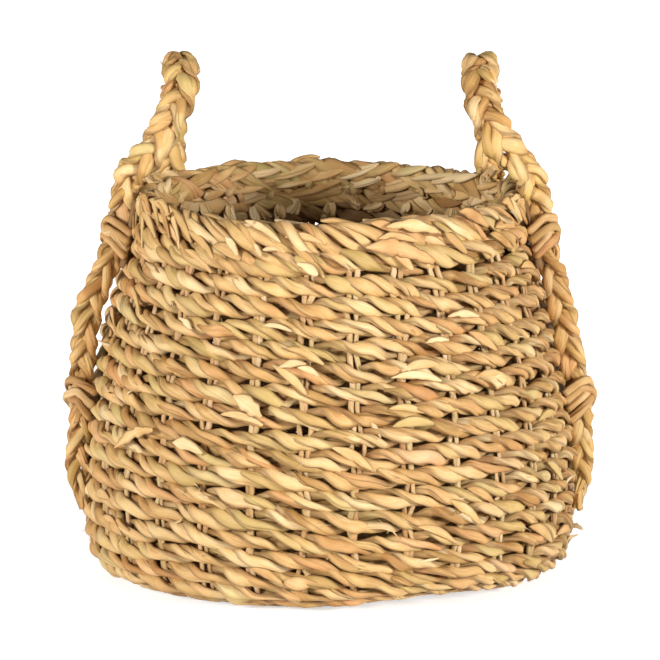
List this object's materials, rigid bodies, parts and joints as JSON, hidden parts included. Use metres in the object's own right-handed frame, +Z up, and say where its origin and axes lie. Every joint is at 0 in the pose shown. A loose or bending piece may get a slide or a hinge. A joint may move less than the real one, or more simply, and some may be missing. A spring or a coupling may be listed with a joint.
{
  "type": "magazine basket",
  "caption": "Round pot-bellied basket of twined seagrass with a flat base, a thick rope rim and two plaited loop handles that flex on their tied legs.",
  "frame": {"origin": "middle of the underside of the base, on the floor", "axes": "+Z up out of the mouth, +X to the right-hand handle, +Y to the back, towards which both handles sit"},
  "size_m": [0.3908, 0.3554, 0.3722],
  "materials": {
    "weft_straw": "dry seagrass, matt with a faint sheen, golden tan with greener and redder leaves",
    "stake_straw": "dry seagrass, matt, pale straw",
    "lining_straw": "dry seagrass, matt, a little darker and greener than outside",
    "base_straw": "dry seagrass, matt",
    "rim_straw": "dry seagrass, matt with a faint sheen",
    "plait_straw": "dry seagrass, plaited, matt with a faint sheen",
    "tie_straw": "dry seagrass, bound tight, matt"
  },
  "bodies": {
    "basket": {"base_cross": "stake_straw", "base_weave": "base_straw", "stake_pair_01": "stake_straw", "stake_pair_02": "stake_straw", "stake_pair_03": "stake_straw", "stake_pair_04": "stake_straw", "stake_pair_05": "stake_straw", "stake_pair_06": "stake_straw", "stake_pair_07": "stake_straw", "stake_pair_08": "stake_straw", "stake_pair_09": "stake_straw", "stake_pair_10": "stake_straw", "stake_pair_11": "stake_straw", "stake_pair_12": "stake_straw", "stake_pair_13": "stake_straw", "stake_pair_14": "stake_straw", "stake_pair_15": "stake_straw", "stake_pair_16": "stake_straw", "stake_pair_17": "stake_straw", "stake_pair_18": "stake_straw", "stake_pair_19": "stake_straw", "stake_pair_20": "stake_straw", "stake_pair_21": "stake_straw", "stake_pair_22": "stake_straw", "stake_pair_23": "stake_straw", "stake_pair_24": "stake_straw", "stake_pair_25": "stake_straw", "stake_pair_26": "stake_straw", "stake_pair_27": "stake_straw", "stake_pair_28": "stake_straw", "weft_rope": "weft_straw", "inner_weave": "lining_straw", "border_row": "rim_straw", "rim_rope": "rim_straw", "handle_leg_right_front": "plait_straw", "upper_tie_right_front": "tie_straw", "lower_tie_right_front": "tie_straw", "handle_leg_right_back": "plait_straw", "upper_tie_right_back": "tie_straw", "lower_tie_right_back": "tie_straw", "handle_leg_left_front": "plait_straw", "upper_tie_left_front": "tie_straw", "lower_tie_left_front": "tie_straw", "handle_leg_left_back": "plait_straw", "upper_tie_left_back": "tie_straw", "lower_tie_left_back": "tie_straw"},
    "handle_right": {"handle_loop_right": "plait_straw"},
    "handle_left": {"handle_loop_left": "plait_straw"}
  },
  "joints": [
    {"name": "right_handle_flex", "type": "hinge", "parent": "basket", "child": "handle_right", "pos_m": [0.13144, 0.03769, 0.288], "axis": [-0.2756, 0.9613, 0], "range_deg": [-25, 40], "stiffness_Nm_per_rad": 0.4},
    {"name": "left_handle_flex", "type": "hinge", "parent": "basket", "child": "handle_left", "pos_m": [-0.13144, 0.03769, 0.288], "axis": [-0.2756, -0.9613, 0], "range_deg": [-25, 40], "stiffness_Nm_per_rad": 0.4}
  ]
}
